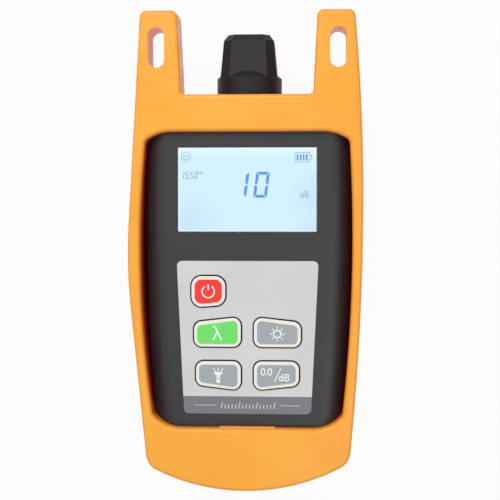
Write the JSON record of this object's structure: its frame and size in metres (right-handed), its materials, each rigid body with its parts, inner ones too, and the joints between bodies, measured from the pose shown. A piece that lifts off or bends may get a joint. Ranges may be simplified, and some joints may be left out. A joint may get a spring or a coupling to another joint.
{
  "type": "optical power meter",
  "caption": "Handheld fibre optical power meter in an orange rubber boot with two strap ears, a lit display, keys on a pale label and a square dust cap on its port.",
  "frame": {"origin": "on the boot's flat back, on the meter's centreline, 88.7 mm from the ears' tips", "axes": "+Z out of the meter's face, +Y towards the fibre port and the ears, +X to the right of the display"},
  "size_m": [0.0878, 0.1793, 0.037],
  "materials": {
    "boot_rubber": "soft matt orange",
    "case_plastic": "fine texture, black",
    "window_plastic": "clear",
    "display_glass": "pale blue, lit",
    "white_plastic": "satin",
    "label_film": "light grey film",
    "mat_rubber": "matt",
    "key_red": "matt red on a pale rim",
    "key_green": "matt green on a pale rim",
    "key_grey": "matt grey on a pale rim",
    "board": "green solder mask",
    "chip": "moulded",
    "tin": "tinned sheet",
    "screw_steel": "zinc plated",
    "spring_metal": "nickel plated",
    "cell_wrap": "plain sleeve",
    "port_metal": "nickel plated brass",
    "cap_plastic": "dark, slightly soft",
    "lamp": "clear lens"
  },
  "bodies": {
    "meter": {"protective_boot": "boot_rubber", "front_case": "case_plastic", "rear_case": "case_plastic", "battery_cover": "case_plastic", "case_screws": "screw_steel", "lcd_window": "window_plastic", "backlight_panel": "white_plastic", "lcd_glass": "display_glass", "lcd_frame": "chip", "keypad_label": "label_film", "keypad_mat": "mat_rubber", "dome_switches": "spring_metal", "main_board": "board", "board_screws": "screw_steel", "microcontroller": "chip", "shield_can": "tin", "battery_cell_left": "cell_wrap", "battery_cell_middle": "cell_wrap", "battery_cell_right": "cell_wrap", "contacts_low": "spring_metal", "contacts_high": "spring_metal", "detector_barrel": "port_metal", "photodiode": "port_metal", "panel_nut": "port_metal", "fibre_adapter": "port_metal", "adapter_nut": "port_metal", "torch_led": "lamp"},
    "key_power_body": {"key_power": "key_red"},
    "key_wavelength_body": {"key_wavelength": "key_green"},
    "key_backlight_body": {"key_backlight": "key_grey"},
    "key_torch_body": {"key_torch": "key_grey"},
    "key_reference_body": {"key_reference": "key_grey"},
    "cap": {"dust_cap": "cap_plastic"}
  },
  "joints": [
    {"name": "key_power_press", "type": "slide", "parent": "meter", "child": "key_power_body", "axis": [0, 0, -1], "range_m": [0, 0.0008], "stiffness_N_per_m": 2500, "springref_m": -0.0002},
    {"name": "key_wavelength_press", "type": "slide", "parent": "meter", "child": "key_wavelength_body", "axis": [0, 0, -1], "range_m": [0, 0.0008], "stiffness_N_per_m": 2500, "springref_m": -0.0002},
    {"name": "key_backlight_press", "type": "slide", "parent": "meter", "child": "key_backlight_body", "axis": [0, 0, -1], "range_m": [0, 0.0008], "stiffness_N_per_m": 2500, "springref_m": -0.0002},
    {"name": "key_torch_press", "type": "slide", "parent": "meter", "child": "key_torch_body", "axis": [0, 0, -1], "range_m": [0, 0.0008], "stiffness_N_per_m": 2500, "springref_m": -0.0002},
    {"name": "key_reference_press", "type": "slide", "parent": "meter", "child": "key_reference_body", "axis": [0, 0, -1], "range_m": [0, 0.0008], "stiffness_N_per_m": 2500, "springref_m": -0.0002},
    {"name": "dust_cap_pull", "type": "slide", "parent": "meter", "child": "cap", "axis": [0, 1, 0], "range_m": [0, 0.045]}
  ]
}
